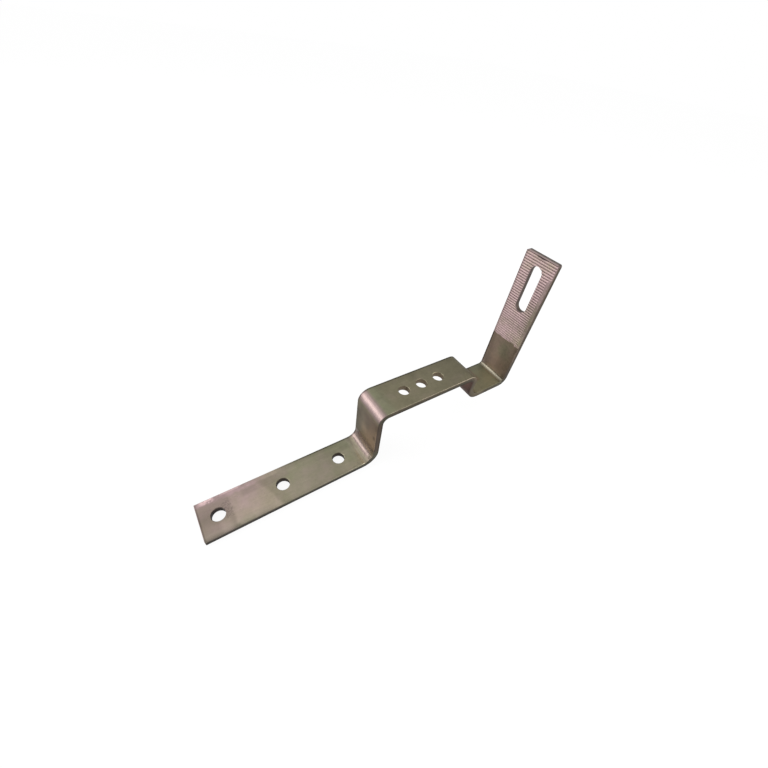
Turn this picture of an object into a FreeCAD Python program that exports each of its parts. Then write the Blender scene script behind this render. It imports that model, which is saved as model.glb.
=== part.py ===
import FreeCAD, Part
import math
import os

# Roof hook for a solar mounting rail, bent from one length of stainless flat bar.
# Sizes are in millimetres. +X runs along the base towards the arm, +Y across the bar, +Z up.
# The origin is on the underside of the base, at the middle screw hole.

# Flat bar
bar_width = 30.0
bar_thickness = 5.0
bar_edge_break = 0.25

# The six runs of the bar, measured over the outside of the bends
base_length = 137.0
riser_height = 59.0
bridge_length = 102.0
drop_height = 32.0
ledge_length = 52.0
arm_height = 123.0

# The five bends, all square, by their inside radius
bend_angle = 90.0
heel_radius = 8.0
crown_radius = 5.0
brow_radius = 4.0
foot_radius = 10.0
elbow_radius = 3.0

# Corners of the two cut ends, seen on the flat of the bar. The arm's near corner is worn rounder.
base_corner_radius = 0.6
arm_near_corner_radius = 1.8
arm_far_corner_radius = 0.8

# Screw holes in the base, counted from its free end
base_hole_diameter = 10.0
base_hole_inset = 13.0
base_hole_pitch = 47.5
base_hole_count = 3

# Holes in the bridge, spread about a middle one that is placed from the riser's outer face
bridge_hole_diameter = 9.5
bridge_hole_inset = 50.5
bridge_hole_pitch = 17.5
bridge_hole_count = 3

# Edge break at both mouths of a punched hole
hole_edge_break = 0.3

# Slot for the rail's bolt, with its middle placed below the arm's upper end
slot_width = 11.0
slot_length = 40.5
slot_inset = 28.0

# Serration pressed into the arm's inner face, from its upper end down.
# The grooves run out over one edge of the bar. Along the other they stop at a plain margin,
# which narrows to nothing near the upper end. Towards the serration's lower end the press bit
# less and less, so the grooves there are shallower and narrower.
serration_length = 77.0
groove_inset = 1.0
groove_pitch = 2.08
groove_width = 1.45
groove_depth = 0.55
groove_runout = 1.4
fade_length = 30.0
faded_share = 0.15
margin_width = 2.4
margin_start = 6.0
margin_taper = 8.0

# How far a cutting tool passes the surface that it cuts
overrun = 1.0


def vector(x, y, z):
    return FreeCAD.Vector(x, y, z)


def turned_up(angle):
    """Turn in the side view of the hook, where a positive angle lifts the bar."""
    return FreeCAD.Rotation(vector(0.0, -1.0, 0.0), angle)


def setback(bend):
    """Length from a bend's outside corner to the flat, on either side of it."""
    turn, radius = bend
    return (radius + bar_thickness) * math.tan(math.radians(abs(turn)) / 2.0)


def lay_out_bar(outside_lengths, bends):
    """Walk along the bar and return its centre line and the place of each run.

    A run's place has X along the run, Y across the bar and Z through its thickness. It lies
    on the underside, at the outside corner that the run's length is measured from.
    """
    centre_line = []
    places = []
    heading = turned_up(0.0)
    position = vector(0.0, 0.0, bar_thickness / 2.0)
    for index, outside_length in enumerate(outside_lengths):
        setback_before = setback(bends[index - 1]) if index > 0 else 0.0
        setback_after = setback(bends[index]) if index < len(bends) else 0.0
        along = heading.multVec(vector(1.0, 0.0, 0.0))
        through = heading.multVec(vector(0.0, 0.0, 1.0))
        corner = position - along * setback_before - through * (bar_thickness / 2.0)
        places.append(FreeCAD.Placement(corner, heading))
        flat_end = position + along * (outside_length - setback_before - setback_after)
        centre_line.append(Part.LineSegment(position, flat_end).toShape())
        position = flat_end
        if index < len(bends):
            turn, radius = bends[index]
            centre = position + through * math.copysign(radius + bar_thickness / 2.0, turn)
            spoke = position - centre
            bend_middle = centre + turned_up(turn / 2.0).multVec(spoke)
            bend_end = centre + turned_up(turn).multVec(spoke)
            centre_line.append(Part.Arc(position, bend_middle, bend_end).toShape())
            heading = turned_up(turn).multiply(heading)
            position = bend_end
    return Part.Wire(centre_line), places


def bar_section():
    """Section of the flat bar at its free end: a rectangle with its four edges broken."""
    half_width = bar_width / 2.0
    cut = bar_edge_break
    corners = [
        (cut - half_width, 0.0),
        (half_width - cut, 0.0),
        (half_width, cut),
        (half_width, bar_thickness - cut),
        (half_width - cut, bar_thickness),
        (cut - half_width, bar_thickness),
        (-half_width, bar_thickness - cut),
        (-half_width, cut),
        (cut - half_width, 0.0),
    ]
    return Part.Face(Part.makePolygon([vector(0.0, y, z) for y, z in corners]))


def corner_cutter(end, inward, near_radius, far_radius):
    """Tool that rounds both corners of a cut end, for a run that lies along X."""
    height = bar_thickness + 2.0 * overrun
    cutters = []
    for side, radius in ((-1.0, near_radius), (1.0, far_radius)):
        reach = radius + overrun
        x = end + inward * radius
        y = side * (bar_width / 2.0 - radius)
        centre = vector(x, y, -overrun)
        block_corner = vector(min(x, x - inward * reach), min(y, y + side * reach), -overrun)
        block = Part.makeBox(reach, reach, height, block_corner)
        cutters.append(block.cut(Part.makeCylinder(radius, height, centre)))
    return Part.makeCompound(cutters)


def punch(diameter, x):
    """Tool for a round hole with both of its mouths broken, through a run that lies along X."""
    radius = diameter / 2.0
    flare = hole_edge_break + overrun
    start = vector(x, 0.0, -overrun)
    upper_start = vector(x, 0.0, bar_thickness - hole_edge_break)
    shaft = Part.makeCylinder(radius, bar_thickness + 2.0 * overrun, start)
    lower_mouth = Part.makeCone(radius + flare, radius, flare, start)
    upper_mouth = Part.makeCone(radius, radius + flare, flare, upper_start)
    return shaft.fuse([lower_mouth, upper_mouth])


def slot_cutter():
    """Tool for the arm's slot: two round ends and the block between them."""
    radius = slot_width / 2.0
    reach = (slot_length - slot_width) / 2.0
    middle = arm_height - slot_inset
    height = bar_thickness + 2.0 * overrun
    block = Part.makeBox(2.0 * reach, slot_width, height, vector(middle - reach, -radius, -overrun))
    lower_end = Part.makeCylinder(radius, height, vector(middle - reach, 0.0, -overrun))
    upper_end = Part.makeCylinder(radius, height, vector(middle + reach, 0.0, -overrun))
    return block.fuse([lower_end, upper_end])


def groove_share(x):
    """Share of its full size that a groove has, which falls towards the serration's lower end."""
    climb = (x - arm_height + serration_length) / fade_length
    return min(1.0, faded_share + (1.0 - faded_share) * climb)


def groove_cutter(x):
    """V-shaped groove across the whole bar, in the upper face of a run that lies along X."""
    side = bar_width / 2.0 + overrun
    top = bar_thickness + overrun
    half_width = groove_width * groove_share(x) / 2.0
    depth = groove_depth * groove_share(x)
    corners = [
        (x - half_width, top),
        (x - half_width, bar_thickness),
        (x, bar_thickness - depth),
        (x + half_width, bar_thickness),
        (x + half_width, top),
        (x - half_width, top),
    ]
    section = Part.Face(Part.makePolygon([vector(along, -side, up) for along, up in corners]))
    return section.extrude(vector(0.0, 2.0 * side, 0.0))


def serration_field():
    """Space that the grooves keep to, whose leaning side lets them run out before the margin."""
    floor = bar_thickness - groove_depth - overrun
    height = groove_depth + 2.0 * overrun
    lean = groove_runout / groove_depth
    margin_edge = margin_width - bar_width / 2.0 + lean * (bar_thickness - floor)
    open_edge = margin_edge - margin_width - lean * height
    far_edge = bar_width / 2.0 + overrun + lean * height
    lower_end = arm_height - serration_length - groove_pitch
    margin_end = arm_height - margin_start
    upper_end = arm_height + overrun
    corners = [
        (lower_end, margin_edge),
        (margin_end - margin_taper, margin_edge),
        (margin_end, open_edge),
        (upper_end, open_edge),
        (upper_end, far_edge),
        (lower_end, far_edge),
        (lower_end, margin_edge),
    ]
    outline = Part.Face(Part.makePolygon([vector(x, y, floor) for x, y in corners]))
    return outline.extrude(vector(0.0, -lean * height, height))


def serration_cutter():
    """All grooves of the serration, counted down from the arm's upper end."""
    groove_count = int((serration_length - groove_inset) / groove_pitch) + 1
    groove_places = [arm_height - groove_inset - groove_pitch * index for index in range(groove_count)]
    grooves = Part.makeCompound([groove_cutter(x) for x in groove_places])
    return serration_field().common(grooves)


outside_lengths = [base_length, riser_height, bridge_length, drop_height, ledge_length, arm_height]
bends = [
    (bend_angle, heel_radius),
    (-bend_angle, crown_radius),
    (-bend_angle, brow_radius),
    (bend_angle, foot_radius),
    (bend_angle, elbow_radius),
]
centre_line, places = lay_out_bar(outside_lengths, bends)
base, riser, bridge, drop, ledge, arm = places

base_holes = [base_hole_inset + base_hole_pitch * index for index in range(base_hole_count)]
first_bridge_hole = bridge_hole_inset - bridge_hole_pitch * (bridge_hole_count - 1) / 2.0
bridge_holes = [first_bridge_hole + bridge_hole_pitch * index for index in range(bridge_hole_count)]

cuts = [(base, corner_cutter(0.0, 1.0, base_corner_radius, base_corner_radius))]
cuts += [(base, punch(base_hole_diameter, x)) for x in base_holes]
cuts += [(bridge, punch(bridge_hole_diameter, x)) for x in bridge_holes]
cuts += [(arm, corner_cutter(arm_height, -1.0, arm_near_corner_radius, arm_far_corner_radius))]
cuts += [(arm, slot_cutter())]
cuts += [(arm, serration_cutter())]

hook = centre_line.makePipe(bar_section()).removeSplitter()
for place, cutter in cuts:
    cutter.Placement = place.multiply(cutter.Placement)
    hook = hook.cut(cutter)

middle_base_hole = base_hole_inset + base_hole_pitch * (base_hole_count - 1) / 2.0
hook.translate(vector(-middle_base_hole, 0.0, 0.0))

os.makedirs("parts", exist_ok=True)
hook.Solids[0].exportStep("parts/roof_hook.step")
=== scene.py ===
import math

import bpy
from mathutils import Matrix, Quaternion, Vector


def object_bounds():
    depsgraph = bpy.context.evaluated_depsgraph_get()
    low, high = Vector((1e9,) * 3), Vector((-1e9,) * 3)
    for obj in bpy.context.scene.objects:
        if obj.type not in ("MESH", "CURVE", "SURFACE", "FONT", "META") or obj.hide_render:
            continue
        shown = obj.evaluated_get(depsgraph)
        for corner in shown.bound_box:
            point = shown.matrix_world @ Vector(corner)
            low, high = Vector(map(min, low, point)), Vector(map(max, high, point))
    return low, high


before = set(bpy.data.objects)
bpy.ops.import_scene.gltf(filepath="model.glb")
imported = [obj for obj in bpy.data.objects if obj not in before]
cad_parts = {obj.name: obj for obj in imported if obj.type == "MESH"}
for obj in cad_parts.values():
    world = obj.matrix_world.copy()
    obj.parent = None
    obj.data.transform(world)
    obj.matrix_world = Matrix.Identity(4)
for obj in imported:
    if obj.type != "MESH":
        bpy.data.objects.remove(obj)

cad_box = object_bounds()
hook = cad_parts["roof_hook"]

# Camera
# The photograph was taken with a wide lens from close above the near side of the base,
# with the camera tipped a little clockwise.
lens_place = Vector((-0.0321, -0.14021, 0.25838))
looked_at = Vector((0.10229, 0.02319, 0.04568))
camera_tip = math.radians(8.96)
sensor_width = 36.0
focal_length = 16.579
nearest_shown = 0.01
farthest_shown = 50.0

lens = bpy.data.cameras.new("photo_camera")
lens.sensor_width = sensor_width
lens.lens = focal_length
lens.clip_start = nearest_shown
lens.clip_end = farthest_shown
camera = bpy.data.objects.new("photo_camera", lens)
camera.location = lens_place
camera.rotation_mode = "QUATERNION"
level_view = (looked_at - lens_place).to_track_quat("-Z", "Y")
camera.rotation_quaternion = level_view @ Quaternion((0.0, 0.0, 1.0), camera_tip)
bpy.context.scene.collection.objects.link(camera)
bpy.context.scene.camera = camera
bpy.context.scene.view_settings.view_transform = "Standard"


# Bent bar
# One length of rolled stainless flat bar, punched, slotted and pressed, and folded five times on
# a press brake. Its flats are mill finished and its bends are drawn smooth, so the skin is shaded
# round and the edges crisp.
crisp_angle = math.radians(25.0)
weld_distance = 0.000002
strongest_weight = 100

for face in hook.data.polygons:
    face.use_smooth = True
weld = hook.modifiers.new("joined_skin", "WELD")
weld.merge_threshold = weld_distance
crisp = hook.modifiers.new("crisp_edges", "EDGE_SPLIT")
crisp.split_angle = crisp_angle
flats = hook.modifiers.new("true_flats", "WEIGHTED_NORMAL")
flats.mode = "FACE_AREA"
flats.weight = strongest_weight


class Finish:
    """A value or colour of a material. Sums and products of two, or with a number, add Math nodes."""

    def __init__(self, tree, socket=None):
        self.tree = tree
        self.socket = socket

    def node(self, kind, settings=None, inputs=None, output=0):
        """Adds a node of any type, with its settings first and then its sockets' values or links."""
        made = self.tree.nodes.new("ShaderNode" + kind)
        for name, value in (settings or {}).items():
            setattr(made, name, value)
        for name, value in (inputs or {}).items():
            if isinstance(value, Finish):
                self.tree.links.new(value.socket, made.inputs[name])
            elif value is not None:
                made.inputs[name].default_value = value
        return Finish(self.tree, made.outputs[output]) if made.outputs else None

    def math(self, operation, other=None, third=None):
        return self.node("Math", {"operation": operation}, {0: self, 1: other, 2: third})

    def __add__(self, other):
        return self.math("ADD", other)

    def __radd__(self, other):
        return self.math("ADD", other)

    def __sub__(self, other):
        return self.math("SUBTRACT", other)

    def __rsub__(self, other):
        return self.node("Math", {"operation": "SUBTRACT"}, {0: other, 1: self})

    def __mul__(self, other):
        return self.math("MULTIPLY", other)

    def __abs__(self):
        return self.math("ABSOLUTE")

    def __gt__(self, other):
        return self.math("GREATER_THAN", other)

    def __lt__(self, other):
        return self.math("LESS_THAN", other)

    def rise(self, start, end, height=1.0):
        """0 below start and the height above end, or the other way round where start is the larger."""
        ramp = {"interpolation_type": "SMOOTHSTEP", "clamp": False}
        places = {"Value": self, "From Min": start, "From Max": end, "To Max": height}
        return self.node("MapRange", ramp, places)

    def band(self, start, end, blur, height=1.0):
        """The height between start and end, with both sides faded over the blur."""
        return self.rise(start - blur, start + blur) * self.rise(end + blur, end - blur, height)


def new_finish(name):
    """Starts a material, and gives what its first nodes are made from."""
    material = bpy.data.materials.new(name)
    material.use_nodes = True
    material.node_tree.nodes.clear()
    return material, Finish(material.node_tree)


def tinted(under, over, amount):
    """Colour that goes from one to the other as the amount goes from 0 to 1."""
    colours = [colour if isinstance(colour, Finish) else (*colour, 1.0) for colour in (under, over)]
    return amount.node("Mix", {"data_type": "RGBA"}, {0: amount, 6: colours[0], 7: colours[1]}, 2)


def blended(under, over, amount):
    """Number that goes from one to the other as the amount goes from 0 to 1."""
    return amount.node("Mix", {"data_type": "FLOAT"}, {0: amount, 2: under, 3: over})


def toned(colour, strength):
    """Colour made lighter or darker by a number that varies."""
    return strength.node("VectorMath", {"operation": "SCALE"}, {0: colour, "Scale": strength})


bar_steel, steel = new_finish("mill_finished_steel")


def three_ways(arrow):
    """How far a place or a direction goes along the bar, across it and up."""
    return [steel.node("SeparateXYZ", inputs={0: arrow}, output=way) for way in "XYZ"]


# Places on the steel are in millimetres, as on the part's drawing.
millimetres = 1000.0
metres = steel.node("TexCoord", output="Object")
place = steel.node("VectorMath", {"operation": "SCALE"}, {0: metres, "Scale": millimetres})
x, y, z = three_ways(place)
facing_x, facing_y, facing_z = three_ways(steel.node("NewGeometry", output="True Normal"))


def cloudy(size, detail, seed=0.0, stretch=(1.0, 1.0, 1.0)):
    """Soft noise round 0.5, with blotches of about the given size in millimetres."""
    shifted = {0: place, 1: stretch, 2: (seed, seed, seed)}
    spread = steel.node("VectorMath", {"operation": "MULTIPLY_ADD"}, shifted)
    return steel.node("TexNoise", inputs={"Vector": spread, "Scale": 1.0 / size, "Detail": detail})


def reach(across, across_middle, up, up_middle):
    """Distance in millimetres from a line square to both directions."""
    spot = steel.node("CombineXYZ", inputs={0: across, 1: up})
    line = (across_middle, up_middle, 0.0)
    return steel.node("VectorMath", {"operation": "DISTANCE"}, {0: spot, 1: line}, "Value")


# The bar's thickness, the upper skin of its runs, and the centres and inside radii of its bends
thickness = 5.0
riser_skin = 71.5
bridge_skin = 59.0
drop_skin = 173.5
ledge_skin = 32.0
arm_skin = 215.5
heel_x, heel_z, heel_radius = 63.5, 13.0, 8.0
crown_x, crown_z, crown_radius = 81.5, 49.0, 5.0
brow_x, brow_z, brow_radius = 164.5, 50.0, 4.0
foot_x, foot_z, foot_radius = 183.5, 42.0, 10.0
elbow_x, elbow_z, elbow_radius = 212.5, 35.0, 3.0

# Depth below the upper skin, which is followed run by run and bend by bend to the arm's tip
from_heel = reach(x, heel_x, z, heel_z)
from_crown = reach(x, crown_x, z, crown_z)
from_brow = reach(x, brow_x, z, brow_z)
from_foot = reach(x, foot_x, z, foot_z)
from_elbow = reach(x, elbow_x, z, elbow_z)
depth = thickness - z
for passed, next_depth in (
    (x > heel_x, from_heel - heel_radius),
    (z > heel_z, x - riser_skin),
    (z > crown_z, (crown_radius + thickness) - from_crown),
    (x > crown_x, bridge_skin - z),
    (x > brow_x, (brow_radius + thickness) - from_brow),
    ((x > brow_x) * (z < brow_z), drop_skin - x),
    ((x > brow_x) * (z < foot_z), from_foot - foot_radius),
    (x > foot_x, ledge_skin - z),
    (x > elbow_x, from_elbow - elbow_radius),
    ((x > elbow_x) * (z > elbow_z), x - arm_skin),
):
    depth = blended(depth, next_depth, passed)

# The runs of the bar, and the skin of three bends that the tools rubbed smoother, where highlights are
# painted too
base_run = x.rise(66.0, 60.0) * z.rise(14.0, 8.0)
riser_run = x.rise(69.0, 71.0) * z.rise(13.0, 17.0) * z.rise(54.0, 46.0) * x.rise(79.0, 77.0)
bridge_run = z.rise(50.0, 58.0) * x.rise(76.0, 84.0)
drop_run = x.band(166.0, 177.0, 1.5) * z.rise(56.0, 54.0)
ledge_run = x.rise(178.0, 184.0) * z.rise(38.0, 33.0)
arm_run = x.rise(213.5, 215.0) * z.rise(33.0, 37.0)
heel_line = from_heel.rise(8.6, 8.1)
elbow_line = from_elbow.rise(3.6, 3.1)
crown_skin = from_crown.rise(9.0, 9.8) * x.rise(80.5, 76.5) * z.rise(50.0, 54.0)

# Hues of the skin, each as light as white, which the tone then darkens
olive = (1.10, 1.00, 0.66)
umber = (1.29, 0.95, 0.66)
rose = (1.265, 0.93, 0.915)
moss = (1.02, 1.03, 0.67)
# The last hue reddens the painted shade on the drop.
shade_red = (1.45, 0.89, 0.72)
plain_tone = 0.166

# Unevenness of the mill finish, from broad clouds to the fine grain along the bar
mottle = cloudy(11.0, detail=3.0) - 0.5
fleck = cloudy(2.4, detail=3.0, seed=7.0) - 0.5
grain = cloudy(0.7, detail=3.0, seed=13.0, stretch=(0.03, 1.0, 0.03)) - 0.5

# Base: lighter and pinker to its free end and along its far edge, a painted pink reflection, with a
# rubbed patch between the first two holes
patch = (x + mottle * 9.0).rise(-39.0, -36.5) * (x + y * 0.4 + mottle * 6.0).rise(-10.0, -13.0)
patch = patch * base_run * y.rise(15.0, 12.0)
far_edge = (y + fleck * 5.0).rise(9.5, 12.5) * x.rise(-6.0, -22.0)
base_pink = x.rise(34.0, -50.0, 0.36) + y.rise(-12.0, 12.0) * x.rise(10.0, -30.0, 0.24)
pinkness = base_run * (base_pink + patch * 0.08 + far_edge * 0.3 + mottle * 0.9 + 0.1)
base_tone = 0.014 + x.rise(60.0, 5.0, 0.034) + patch * (0.046 - y * 0.0012)

# It is darker round the first hole, at the cut and along the near edge, and lighter to the heel.
base_tone += x.rise(-34.0, -46.0) * (abs(y) * 0.004 - 0.055)
base_tone += x.rise(38.0, 66.0) * (0.1 - y.rise(0.0, 12.0, 0.045)) + far_edge * 0.02
base_tone -= y.rise(-12.0, -14.8) * (0.025 + x.rise(-12.0, -24.0, 0.025))
base_tone -= x.rise(-58.9, -59.7, 0.06)
base_tone += x.rise(24.0, 40.0) * y.rise(0.0, -8.0, 0.02)
base_tone -= x.rise(-24.0, -30.0) * y.rise(-7.0, -10.0, 0.01)
base_tone += x.band(-48.0, -41.0, 2.0) * y.rise(-4.0, -8.0, 0.035)

# Soft shades lie across the patch and round the middle hole.
far_shade = x.band(-29.0, -18.0, 2.0, 0.036) + x.band(-18.0, 7.0, 2.0, 0.02)
base_tone -= far_shade * y.band(5.0, 10.5, 1.5)
base_tone -= x.band(-22.0, -12.0, 3.0) * y.rise(-10.0, -12.0, 0.028)
base_tone += x.band(-14.0, -1.0, 2.0) * y.rise(10.5, 12.0, 0.03)
base_tone -= x.rise(1.0, 5.0) * y.rise(10.0, 12.0, 0.02)
base_tone += x.rise(-4.0, 2.0, 0.008)

# Others lie between the last hole and the heel, where the steel starts to brighten.
base_tone -= x.band(31.0, 60.0, 3.0) * y.band(5.0, 9.5, 1.0, 0.014)
base_tone -= x.band(53.0, 59.0, 1.5) * y.rise(-4.0, -8.0, 0.02)
base_tone += x.rise(60.3, 62.8) * y.rise(4.0, -1.0, 0.035)
base_tone -= x.band(52.0, 62.5, 3.0) * y.band(4.5, 10.5, 1.5, 0.026)
base_tone -= x.band(58.5, 61.5, 1.0) * y.rise(-5.0, -11.0, 0.03)
tone = plain_tone + base_run * base_tone

# Dark specks beside the first hole, and bright scuffs along the far edge of the free end, worn steel
# with a painted highlight on it
dots = cloudy(1.0, detail=1.0, seed=31.0).rise(0.52, 0.6)
specks = x.band(-43.5, -37.5, 1.5) * y.band(-6.0, 8.0, 2.5) * dots * base_run
scuffed_end = y.band(11.6, 14.6, 0.6) * x.band(-57.0, -48.0, 2.0)
scuffed_edge = y.band(13.4, 14.8, 0.4) * x.band(-56.0, -24.0, 3.0, 0.6)
worn_and_glinting = (scuffed_end + scuffed_edge) * (fleck + mottle * 1.6).rise(-0.14, 0.1) * base_run
tone += worn_and_glinting * 0.16 - specks * 0.055

# It greens from the middle hole to the heel, and along the near edge of the free end.
base_moss = x.rise(-16.0, 8.0, 0.65) + x.rise(48.0, 60.0, 0.3)
mossiness = base_run * (base_moss + y.rise(-8.0, -14.0) * x.rise(0.0, -30.0, 0.7))
late_pink = x.rise(0.0, 34.0) * (0.07 + y.rise(7.0, 0.0, 0.08)) + x.rise(59.0, 62.0, 0.14)
pinkness += base_run * (late_pink + worn_and_glinting * 0.35)

# Heel: a bright pink line where the die rubbed the bend smoother. The lamp lights it, and its pink,
# its soft start and its duller near end are painted highlight and painted shade
pinkness += heel_line * z.rise(5.5, 6.5, 0.75)
heel_highlight_dimming = heel_line * z.rise(5.9, 6.3) * z.rise(9.0, 7.5)
heel_start = x.band(62.6, 64.8, 0.8) * z.rise(6.0, 5.5)
heel_edge = heel_line * y.rise(-9.5, -13.0)
tone += x.band(61.8, 65.3, 0.6) * z.rise(6.0, 5.6) * y.rise(6.0, 1.0, 0.03)
tone += heel_line * z.rise(5.9, 5.4) * y.rise(12.0, 9.0, 0.03)
tone += heel_start * (y.rise(9.0, 0.0, 0.1) - heel_edge * 0.03 - 0.01)
tone -= heel_highlight_dimming * 0.038
tone -= heel_line * z.band(6.1, 6.9, 0.25) * y.rise(-12.0, -9.0, 0.03)
tone += heel_line * z.band(7.0, 8.2, 0.4) * y.rise(-9.0, -5.0, 0.018)
tone -= heel_line * z.band(8.4, 9.8, 0.4) * y.band(5.0, 10.5, 1.0, 0.02)
pinkness -= heel_edge * z.rise(5.9, 6.3, 0.35)
tone -= heel_edge * (z.band(6.35, 8.0, 0.3, 0.075) + z.rise(9.3, 10.6, 0.06))
tone += heel_line * y.rise(10.0, 12.0) * z.band(6.0, 6.9, 0.4, 0.04)
tone += heel_line * z.rise(9.5, 11.5) * y.band(2.0, 10.0, 2.0, 0.02)
tone -= heel_line * z.band(6.6, 7.3, 0.3) * y.band(-10.0, -5.0, 2.0, 0.03)
pinkness += x.rise(61.5, 65.0) * z.rise(6.5, 5.5, 0.25)
mossiness += x.rise(60.0, 62.5) * z.rise(6.0, 5.4, 0.3)

# Crown: a broad pink highlight, painted pink and shaped with painted light and shade, with a green
# tinge and a lighter tone where the bridge starts
pinkness += crown_skin * 0.9
crown_start = crown_skin * z.band(52.5, 55.6, 0.8)
bridge_start = z.rise(57.5, 58.6)
tone += crown_skin * (0.03 - y.rise(2.0, -12.0, 0.02))
tone -= crown_start * (0.02 - y.band(6.0, 10.0, 2.0, 0.035))
tone += crown_skin * (z.band(55.9, 57.2, 0.4, 0.02) - z.rise(57.9, 58.4, 0.05))
start_tone = 0.014 + y.rise(2.0, -7.0, 0.01) + y.rise(1.0, 6.0, 0.018)
tone += bridge_start * x.rise(88.0, 81.0) * start_tone
mossiness += bridge_start * x.rise(92.0, 82.0, 0.8)

# Elbow: a thin pale highlight, narrowed and evened with painted shade and light, and brow: a band of
# painted shade before its outline
pinkness += elbow_line * (0.1 + x.rise(212.8, 213.8, 0.25))
elbow_turn = elbow_line * x.rise(213.0, 214.2) * z.rise(35.3, 34.4)
tone -= elbow_turn * (0.05 + y.rise(1.0, -7.0, 0.03))
tone += elbow_line * (y.rise(9.0, 12.0, 0.04) - y.rise(-9.0, -13.0, 0.035))
brow = from_brow.band(8.3, 9.6, 0.2) * x.rise(167.3, 168.9) * z.rise(55.0, 56.5)
tone -= brow * y.rise(-6.0, -1.0, 0.045)

# Riser: browner, with faint slanting streaks, paler across its middle, darker to its far edge and
# scuffed near the other
slant = cloudy(7.0, detail=3.0, seed=5.0, stretch=(1.0, 0.55, 0.45)) - 0.5
paler_middle = z.band(18.0, 32.0, 6.0) * y.rise(8.0, -2.0)
scuff = reach(z * 0.7 + slant * 2.0, 22.0, y + fleck * 2.0, -12.5).rise(2.4, 0.8)
heel_top = heel_line * z.rise(9.0, 12.0) * y.rise(8.0, 12.0)
brownness = riser_run * (0.8 - y * 0.03 + slant * 0.8)
brownness += riser_run * z.rise(21.0, 15.0) * y.rise(1.0, 5.0, 0.4) + heel_top * 0.3
mossiness += riser_run * y.rise(0.0, 9.0, 0.7)
pinkness += riser_run * (0.15 - y.rise(-3.0, 6.0, 0.15)) - heel_top * 0.15
riser_tone = slant * 0.08 + paler_middle * 0.085 - scuff * 0.085 - y.rise(4.0, 13.0, 0.065)
riser_tone -= z.band(22.0, 32.0, 3.0) * y.rise(3.0, 7.0, 0.018)
riser_tone -= z.band(43.0, 49.0, 2.0) * y.band(-3.0, 4.0, 2.0, 0.018)
riser_tone -= z.rise(15.5, 13.5) * y.rise(10.0, 12.0, 0.03)
riser_tone += z.band(12.5, 15.5, 1.0) * y.band(2.0, 10.0, 1.5, 0.02)
riser_tone -= z.rise(36.0, 46.0, 0.03)
riser_tone += y.rise(8.0, 12.0) * z.rise(39.0, 46.0, 0.05)
riser_tone -= z.rise(21.0, 16.0) * y.rise(2.0, -8.0, 0.045)
riser_tone += z.band(32.0, 43.0, 4.5) * (y.rise(-2.0, -9.0, 0.055) - 0.025)
tone += riser_run * riser_tone

# Bridge: plain olive, darker to the brow
bridge_tone = x.rise(100.0, 84.0) * y.rise(2.0, -6.0, 0.012) - x.rise(118.0, 172.0, 0.028)
bridge_tone += x.rise(146.0, 162.0) * y.rise(-6.0, -12.0, 0.022) - y.rise(6.0, 12.0, 0.013)
bridge_tone -= x.band(117.0, 124.0, 3.0) * y.rise(2.0, 8.0, 0.022)
tone += bridge_run * (bridge_tone + fleck * 0.02)
pinkness += bridge_run * mottle * 0.7

# Ledge: greener, with a painted shadow behind the brow, and lighter to the elbow
ledge_tone = x.rise(184.0, 206.0, 0.065) - y.rise(2.0, 13.0, 0.055) + y.rise(0.0, -8.0, 0.015)
ledge_tone += x.rise(200.0, 192.0) * y.rise(-3.0, -6.0, 0.012)
ledge_tone += x.rise(190.0, 187.0) * y.rise(3.0, 0.0, 0.02)
ledge_tone -= x.rise(196.0, 200.0) * y.rise(3.0, 9.0, 0.018)
before_elbow = 0.008 + y.band(5.0, 10.0, 1.0, 0.012) - y.rise(10.5, 12.0, 0.025)
tone += ledge_run * (ledge_tone + x.rise(209.5, 212.0) * before_elbow)
behind_brow = ledge_run * x.rise(199.0, 195.0) * y.rise(-5.0, -1.0)
tone -= behind_brow * (0.026 + y.rise(0.0, 6.0, 0.02))
ledge_moss = 0.55 - behind_brow * 0.5 + x.rise(198.0, 204.0) * y.rise(0.0, 9.0, 0.1)
mossiness += ledge_run * (ledge_moss + x.rise(205.5, 211.0, 0.45))
brownness += behind_brow * 0.6 + ledge_run * x.rise(194.0, 188.0, 0.1)

# Drop: a painted shade, dark and reddish, on the side that faces the riser
hidden = drop_run * (depth > thickness - 0.5)
drop_tone = 0.073 + z.rise(46.0, 38.0, 0.035) + y.rise(-11.5, -14.0, 0.02)
tone -= hidden * (drop_tone + z.rise(49.0, 52.0, 0.02))

# Arm: brown up to the serration, with an olive cloud below that
lower_arm = arm_run * (depth < 2.0) * z.rise(74.0, 72.0)
mossy_arm = lower_arm * z.band(54.0, 70.0, 5.0) * y.band(-11.0, 2.5, 4.0)
brownness += lower_arm * (0.8 + mottle * 1.2) - mossy_arm * 0.45
mossiness += mossy_arm * 0.3
pinkness += lower_arm * (0.2 + z.rise(50.0, 40.0, 0.2)) - mossy_arm * 0.1
arm_tone = 0.034 + z.rise(46.0, 34.0) * (0.08 - abs(y + 2.0) * 0.0045)
arm_tone -= y.rise(-9.0, -14.0, 0.03)
arm_tone -= y.rise(4.0, 12.0) * z.rise(64.0, 50.0) * z.rise(35.0, 39.0, 0.06)
arm_tone += z.band(38.0, 61.0, 4.0) * y.band(-2.0, 5.0, 3.0, 0.03)
arm_tone -= z.rise(57.0, 62.0) * y.rise(9.0, 12.0, 0.025)
arm_tone -= z.rise(63.0, 68.0) * (y.rise(-10.0, -13.0, 0.02) + y.band(4.0, 9.0, 2.0, 0.012))
arm_tone -= y.rise(-10.0, -13.0) * z.rise(42.0, 37.0, 0.04)
tone += lower_arm * arm_tone
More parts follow.
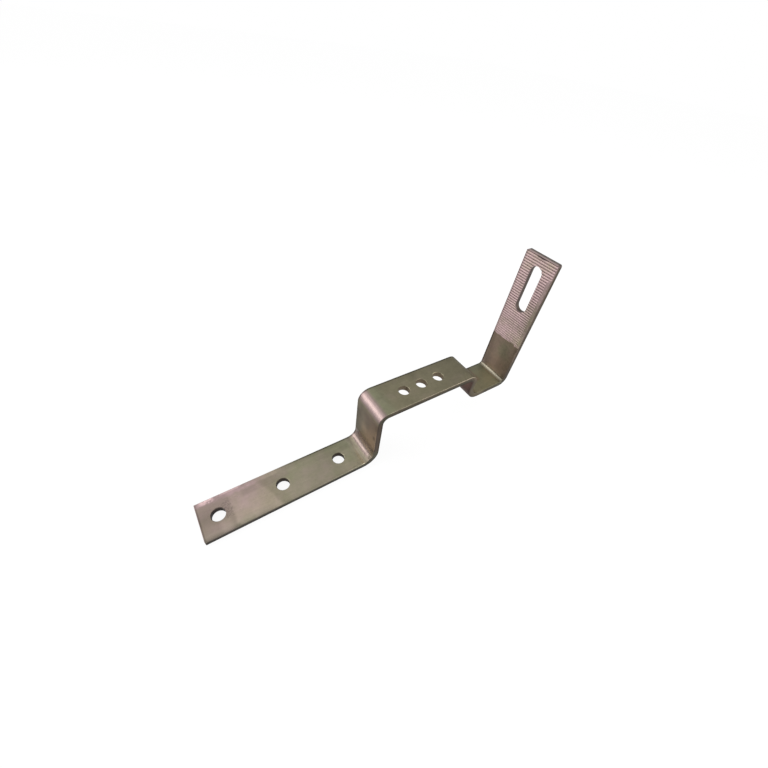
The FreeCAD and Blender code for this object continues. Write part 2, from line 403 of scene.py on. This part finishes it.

# Serration: painted pink and bright, a painted reflection, with a ragged lower edge. The groove walls
# that face down get painted shade, a painted wave of light and shade follows the grooves and turns
# round low down to even out their real shading, painted shade lies round the slot's rim, and a dark
# scuff lies under the tip.
groove_pitch = 2.08
first_groove = 149.0
slot_middle = 122.0
slot_half_reach = 14.75
ragged = z + mottle * 3.0 + fleck * 3.0
serration = arm_run * (depth < 1.2) * ragged.rise(71.7, 72.5)
plain_margin = y.rise(-11.6, -13.4) * z.rise(147.0, 139.0)
shaded_wall = facing_z.rise(-0.15, -0.35) * (1.0 - plain_margin)
near_side = y.rise(2.0, -12.0)
near_edge = y.rise(-10.0, -13.0)
tip_scuff = reach(z + slant * 1.2, 149.8, y * 0.3 + fleck, 0.05).rise(2.1, 1.0)
past_slot_end = (abs(z - slot_middle) - slot_half_reach).math("MAXIMUM", 0.0)
slot_rim = reach(past_slot_end, 0.0, y, 0.0).rise(6.7, 5.6) * z.rise(120.0, 134.0)
groove_wave = ((first_groove - z) * (math.tau / groove_pitch)).math("SINE") * (1.0 - plain_margin)
painted_sheen_pink = 0.92 - plain_margin * (0.1 + z.band(90.0, 115.0, 7.0, 0.25))
painted_sheen_pink += fleck * 0.4 + mottle * 0.5 - y.rise(-3.0, -11.0) * z.rise(116.0, 100.0, 0.22)
pinkness += serration * painted_sheen_pink
painted_sheen_tone = 0.125 + z.rise(90.0, 80.0, 0.06)
painted_sheen_tone += z.rise(124.0, 146.0) * (0.03 + near_side * 0.045)
painted_sheen_tone -= near_side * z.rise(82.0, 92.0, 0.04) + z.rise(88.0, 98.0, 0.015)
painted_sheen_tone -= near_edge * (z.rise(126.0, 136.0, 0.04) + z.band(81.0, 94.0, 2.0, 0.018))
painted_sheen_tone -= y.rise(-5.0, -11.0) * z.band(81.0, 115.0, 3.0, 0.03)
painted_sheen_tone += plain_margin * (0.015 + z.rise(104.0, 92.0, 0.02))
painted_sheen_tone += y.rise(8.0, 11.0) * z.rise(112.0, 122.0, 0.025)
tone += serration * (painted_sheen_tone + fleck * 0.06 - tip_scuff * 0.21)
groove_shade = groove_wave * (z.rise(82.0, 108.0, 0.3) - 0.18) - slot_rim * 0.15
tone *= 1.0 + serration * (groove_shade - shaded_wall * z.rise(88.0, 112.0, 0.22))
brownness += serration * mottle.rise(0.02, 0.2, 0.35)

# The bar's sides are painted dark, a painted reflection of dark surroundings, with a painted highlight
# near the upper skin and painted shade along the lower edge.
side = abs(facing_y).rise(0.75, 0.95) * abs(y).rise(13.6, 14.4)
streaks = cloudy(3.0, detail=2.0, seed=19.0, stretch=(0.3, 1.0, 0.3)) - 0.5
side_tone = 0.068 - base_run * 0.018 + streaks * 0.05
side_tone += depth.rise(2.2, 0.6) * (base_run * 0.15 + bridge_run * 0.05)
side_tone += x.band(168.0, 190.0, 3.0) * (0.035 + depth.rise(2.8, 1.6, 0.015))
side_tone -= depth.rise(3.0, 4.4, 0.03)
side_tone += arm_run * z.rise(116.0, 132.0) * depth.rise(2.4, 0.6, 0.09)
side_tone -= riser_run * depth.rise(1.5, 0.3, 0.02)
tone = blended(tone, side_tone, side)
brownness += side * (bridge_run * 0.35 + x.rise(160.0, 172.0, 0.5))

# The two cut ends are light near the upper skin and darker below, and so are the arm's corners at its
# tip.
dark_cut_tone = 0.085
cut_end = x.rise(-60.2, -60.45) + z.rise(149.8, 149.95)
tip_corners = z.rise(148.0, 148.2) * abs(facing_x).rise(0.5, 0.3) * z.rise(149.95, 149.8)
tone = blended(tone, blended(dark_cut_tone, 0.27, depth.rise(2.8, 1.4)) + streaks * 0.05, cut_end)
tone = blended(tone, blended(dark_cut_tone, 0.14, depth.rise(2.8, 1.0)), tip_corners)

# Painted shade darkens the walls of the holes and of the slot, which are lighter at their mouths.
# Painted light lies on the bridge holes' walls that face the riser, and more painted shade on the base
# holes' walls that face the heel.
holed_base = x.band(-54.0, 54.0, 0.3) * z.rise(6.0, 5.5)
holed_bridge = x.band(97.0, 147.0, 0.5) * z.rise(53.0, 53.5)
wall_start = 0.6 + (facing_x - facing_y).rise(-0.3, 0.3, 0.25)
steep = (wall_start - abs(facing_z)).rise(-0.05, 0.05)
round_walls = (holed_base + holed_bridge) * steep * abs(y).rise(7.5, 7.0)
upright = abs(facing_x).rise(0.5, 0.3) * (x > arm_skin - 0.2)
slot_walls = z.band(101.0, 143.0, 0.2) * upright * abs(y).rise(7.5, 7.0)
rim_light = (holed_bridge * 0.07 + x.rise(112.0, 139.0, 0.08)) * facing_x.rise(-0.55, -0.3)
wall_tone = blended(0.03 + holed_bridge * 0.12, 0.08 + rim_light, depth.rise(1.2, 0.3))
tone = blended(tone, wall_tone, round_walls)
tone *= 1.0 - holed_base * round_walls * facing_x.rise(0.2, 0.8, 0.65)
tone = blended(tone, blended(dark_cut_tone, 0.25, depth.rise(2.0, 0.2)), slot_walls)
pinkness += (slot_walls + cut_end + tip_corners) * 0.7
brownness += round_walls * (1.0 - holed_bridge * 0.4) * depth.rise(0.1, 0.5)

# A painted highlight runs along the near edge of the skin on the bridge, and painted shade along the
# far edge; painted shade also darkens the near edge on the riser and past the brow, and the crown's
# far edge.
near_arris = y.rise(-14.7, -14.8) * abs(facing_y).rise(0.8, 0.75) * (depth < 1.0)
far_arris = y.rise(12.9, 14.3) * x.rise(-10.0, 30.0) * (1.0 - riser_run)
tone += near_arris * bridge_run * (0.01 + x.rise(116.0, 160.0, 0.12) + fleck * 0.3)
pinkness += near_arris * bridge_run * 0.28
arris_shade = x.rise(168.0, 170.5, 0.3) + x.rise(176.0, 186.0, 0.2) + riser_run * 0.3
tone *= 1.0 - near_arris * arris_shade - far_arris * (0.6 - serration * 0.25)
tone -= crown_skin * y.rise(9.5, 13.0, 0.012)

# Rims of the holes, rounded by the punch, with a painted highlight that is brightest on the far side
# of the bridge's last holes
rim_width = 0.35
rim_blur = 0.06
base_hole = 5.0
base_half_pitch = 23.75
bridge_hole = 4.75
bridge_half_pitch = 8.75
bridge_middle = 122.0
along_base = x.math("WRAP", base_half_pitch, -base_half_pitch)
along_bridge = (x - bridge_middle).math("WRAP", bridge_half_pitch, -bridge_half_pitch)
base_rim = reach(along_base, 0.0, y, 0.0).band(base_hole, base_hole + rim_width, rim_blur)
hole_rim = holed_base * base_rim
bridge_rim = reach(along_bridge, 0.0, y, 0.0).band(bridge_hole, bridge_hole + rim_width, rim_blur)
hole_rim += holed_bridge * bridge_rim
rim_tone = 0.015 + x.rise(112.0, 139.0) * y.rise(2.0, 4.5, 0.05) + fleck * 0.12
tone += hole_rim * (depth < 1.0) * rim_tone

# Hairline scratches along the bar, and a few pits
scratch = cloudy(0.6, detail=1.0, seed=23.0, stretch=(0.04, 1.0, 0.04)).rise(0.66, 0.7)
pit = cloudy(1.5, detail=1.0, seed=41.0).rise(0.27, 0.24)
tone *= 1.0 + mottle * 0.3 + fleck * 0.24 + grain * 0.16 + scratch * 0.1 - pit * 0.1
skin = tinted(tinted(olive, moss, mossiness), umber, brownness)
skin = tinted(tinted(skin, rose, pinkness), shade_red, hidden)
colour = toned(skin, tone)

# Rolled skin, satin on the flats and rubbed smoother where the tools pressed
roughness = 0.54 + fleck * 0.12 + grain * 0.1
roughness -= heel_line * 0.18 + elbow_line * 0.14 + crown_skin * 0.1
roughness += pit * 0.1 + (side + round_walls + slot_walls) * 0.08
# The relief is in millimetres.
relief = fleck * 0.02 + grain * 0.012 - pit * 0.03 - scratch * 0.006
one_millimetre = 1.0 / millimetres
bump = steel.node("Bump", inputs={"Strength": 1.0, "Distance": one_millimetre, "Height": relief})
surface = steel.node("BsdfPrincipled", inputs={
    "Base Color": colour,
    "Metallic": 1.0,
    "Roughness": roughness,
    "Normal": bump,
})
steel.node("OutputMaterial", inputs={"Surface": surface})
hook.material_slots[0].material = bar_steel


# Studio
# A pale sweep of floor under an even white sky. One low softbox stands beyond the base's end and
# one on the near side beyond the arm, and a broader, weaker one hangs overhead.
hook_middle = (cad_box[0] + cad_box[1]) / 2.0


def softbox(name, direction, distance, width, height, brightness):
    """Rectangular lamp that faces the hook, whose face is as bright as the number says."""
    lamp = bpy.data.lights.new(name, "AREA")
    lamp.shape = "RECTANGLE"
    lamp.size = width
    lamp.size_y = height
    lamp.energy = brightness * math.pi * width * height
    holder = bpy.data.objects.new(name, lamp)
    holder.location = hook_middle + Vector(direction).normalized() * distance
    holder.rotation_mode = "QUATERNION"
    holder.rotation_quaternion = (hook_middle - holder.location).to_track_quat("-Z", "Y")
    bpy.context.scene.collection.objects.link(holder)


softbox("low_softbox", (-0.77, 0.52, 0.36), distance=1.5, width=1.1, height=0.65, brightness=6.0)
softbox("overhead_softbox", (-0.45, 0.25, 0.85), distance=1.6, width=1.1, height=1.1, brightness=1.0)
softbox("near_softbox", (0.52, -0.72, 0.42), distance=1.5, width=0.8, height=0.6, brightness=5.0)

sky = bpy.data.worlds.new("white_sky")
sky.use_nodes = True
sky.node_tree.nodes["Background"].inputs["Color"].default_value = (1.0, 1.0, 1.0, 1.0)
sky.node_tree.nodes["Background"].inputs["Strength"].default_value = 1.0
bpy.context.scene.world = sky

floor_reach = 6.0
floor_gap = 0.0002
floor_level = cad_box[0].z - floor_gap
corners = [
    (-floor_reach, -floor_reach, floor_level),
    (floor_reach, -floor_reach, floor_level),
    (floor_reach, floor_reach, floor_level),
    (-floor_reach, floor_reach, floor_level),
]
sweep = bpy.data.meshes.new("studio_floor")
sweep.from_pydata(corners, [], [(0, 1, 2, 3)])
floor = bpy.data.objects.new("studio_floor", sweep)
bpy.context.scene.collection.objects.link(floor)

# The camera and the steel see mostly white, and the floor keeps a faint shadow of the hook.
white_share = 0.9
paper_white = (0.95, 0.95, 0.95, 1.0)
white_paper, paper = new_finish("white_paper")
seen = paper.node("LightPath", output="Is Camera Ray")
seen += paper.node("LightPath", output="Is Glossy Ray")
seen += paper.node("LightPath", output="Is Transmission Ray")
matt = paper.node("BsdfDiffuse", inputs={"Color": paper_white})
glow = paper.node("Emission", inputs={"Strength": 1.0})
shown = seen.math("MINIMUM", 1.0) * white_share
sheet = paper.node("MixShader", inputs={0: shown, 1: matt, 2: glow})
paper.node("OutputMaterial", inputs={"Surface": sheet})
sweep.materials.append(white_paper)
